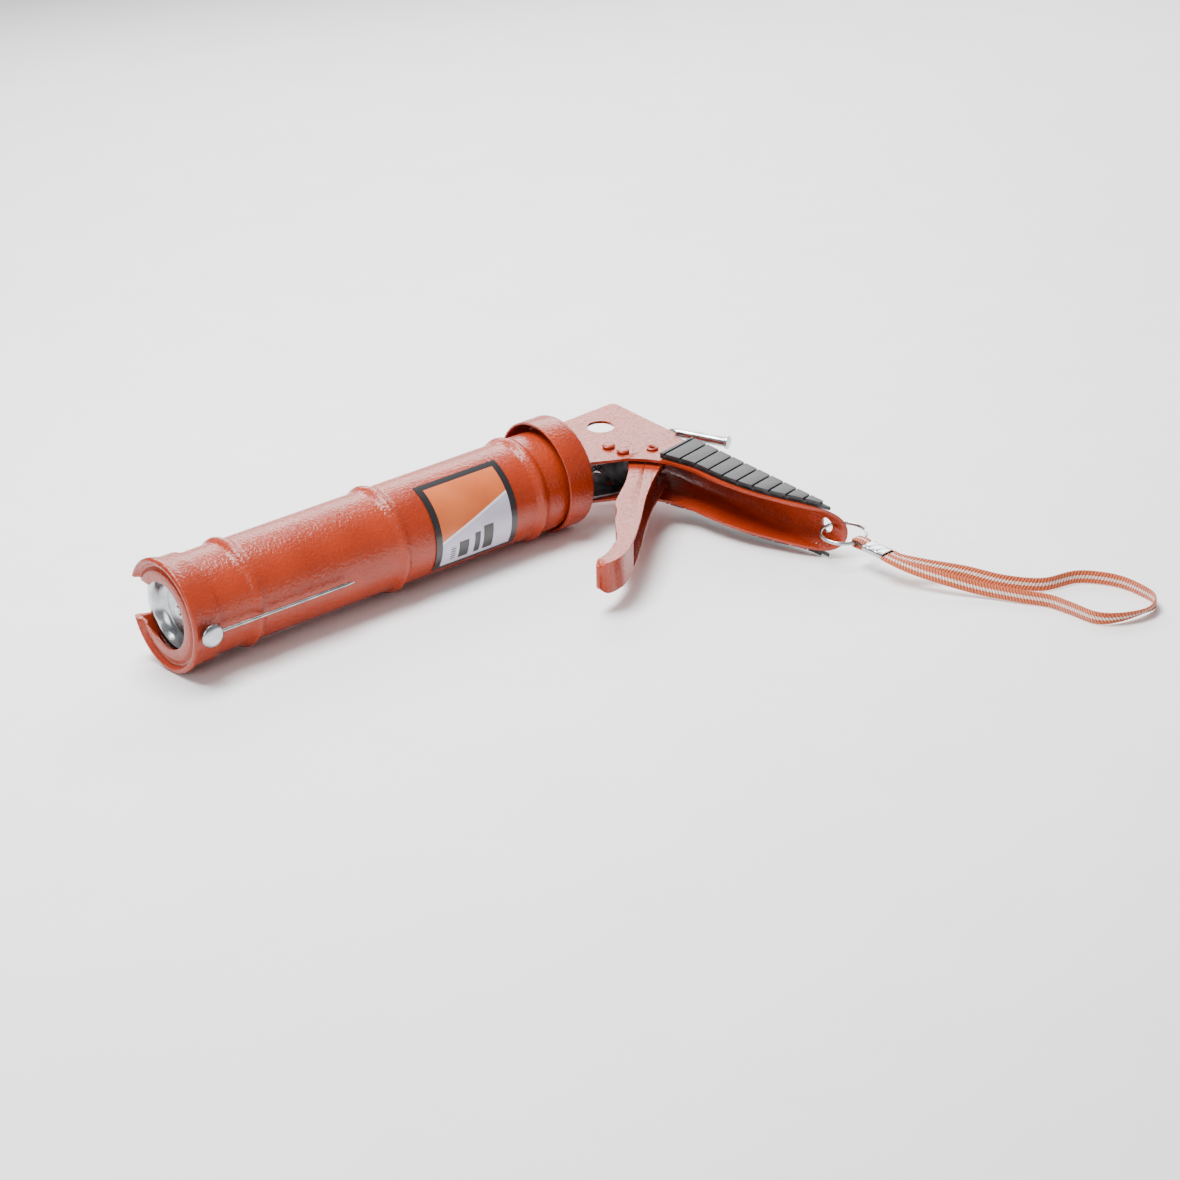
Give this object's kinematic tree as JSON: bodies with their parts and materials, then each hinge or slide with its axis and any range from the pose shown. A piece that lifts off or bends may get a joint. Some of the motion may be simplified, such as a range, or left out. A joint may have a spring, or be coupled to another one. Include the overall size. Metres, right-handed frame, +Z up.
{
  "type": "caulking gun",
  "caption": "Tube-barrelled sealant gun with folded-sheet handle, squeeze trigger, friction-drive push rod, fold-out puncture wire and wrist strap",
  "frame": {"origin": "Centre of the gun's footprint, on the table it lies on; the free strap isn't counted.", "axes": "+X along the barrel towards the nozzle, +Y towards the end of the handle, +Z up from the table, out of the gun's left side. The barrel's axis is raised 0.3 degrees and the gun is rolled 5 degrees about it, as it lies."},
  "size_m": [0.3811, 0.3422, 0.0609],
  "materials": {
    "orange_paint": "baked orange enamel with a fine orange-peel texture, satin gloss",
    "zinc_plate": "bright zinc plate with drawing marks",
    "plain_steel": "dull phosphated steel",
    "pad_rubber": "matt black moulded rubber",
    "label_film": "printed film label with plain colour panels",
    "strap_webbing": "flat woven cord, orange with a white centre stripe"
  },
  "bodies": {
    "frame": {"frame": "orange_paint", "rear_collar": "orange_paint", "mount_bracket": "plain_steel", "guide_bush": "zinc_plate", "bracket_rivet_left_1": "orange_paint", "bracket_rivet_left_2": "orange_paint", "bracket_rivet_right_1": "orange_paint", "bracket_rivet_right_2": "orange_paint", "rod_bulkhead": "plain_steel", "catch_pin": "orange_paint", "trigger_pivot": "orange_paint", "grip_pad_left": "pad_rubber", "grip_pad_right": "pad_rubber", "drive_spring": "plain_steel", "catch_spring": "plain_steel", "split_ring": "zinc_plate", "strap_tail": "strap_webbing", "strap_ferrule": "zinc_plate", "wrist_strap": "strap_webbing"},
    "barrel": {"barrel_tube": "orange_paint", "front_cap": "orange_paint", "label": "label_film", "wire_rivet": "zinc_plate", "wire_washer": "zinc_plate"},
    "puncture_wire": {"puncture_wire": "zinc_plate"},
    "rod": {"push_rod": "zinc_plate", "piston_disc": "zinc_plate", "piston_nut": "zinc_plate", "piston_washer": "zinc_plate"},
    "trigger": {"trigger": "orange_paint"},
    "drive_plate": {"drive_plate": "plain_steel"},
    "catch_plate": {"catch_plate": "zinc_plate"}
  },
  "joints": [
    {"name": "barrel_slide", "type": "slide", "parent": "frame", "child": "barrel", "axis": [1, 0, 0.0056], "range_m": [0, 0.26]},
    {"name": "puncture_wire_hinge", "type": "hinge", "parent": "barrel", "child": "puncture_wire", "pos_m": [0.16399, -0.03463, 0.02705], "axis": [0.0005, 0.9962, -0.0872], "range_deg": [0, 180]},
    {"name": "rod_slide", "type": "slide", "parent": "frame", "child": "rod", "axis": [-1, 0, -0.0056], "range_m": [0, 0.22]},
    {"name": "trigger_squeeze", "type": "hinge", "parent": "frame", "child": "trigger", "pos_m": [-0.11631, -0.03672, 0.02567], "axis": [-0.0056, 0.0872, 0.9962], "range_deg": [0, 40], "stiffness_Nm_per_rad": 0.35, "springref_deg": -14.32, "deforming": ["drive_spring"]},
    {"name": "drive_plate_slide", "type": "slide", "parent": "frame", "child": "drive_plate", "axis": [1, 0, 0.0056], "range_m": [0, 0.0097]},
    {"name": "catch_plate_hinge", "type": "hinge", "parent": "frame", "child": "catch_plate", "pos_m": [-0.13122, -0.04878, 0.02664], "axis": [-0.0056, 0.0872, 0.9962], "range_deg": [0, 7], "stiffness_Nm_per_rad": 0.06, "springref_deg": -11.46, "deforming": ["catch_spring"]}
  ],
  "couplings": [
    {"joint": "drive_plate_slide", "follows": "trigger_squeeze", "m_per_rad": 0.01375}
  ]
}
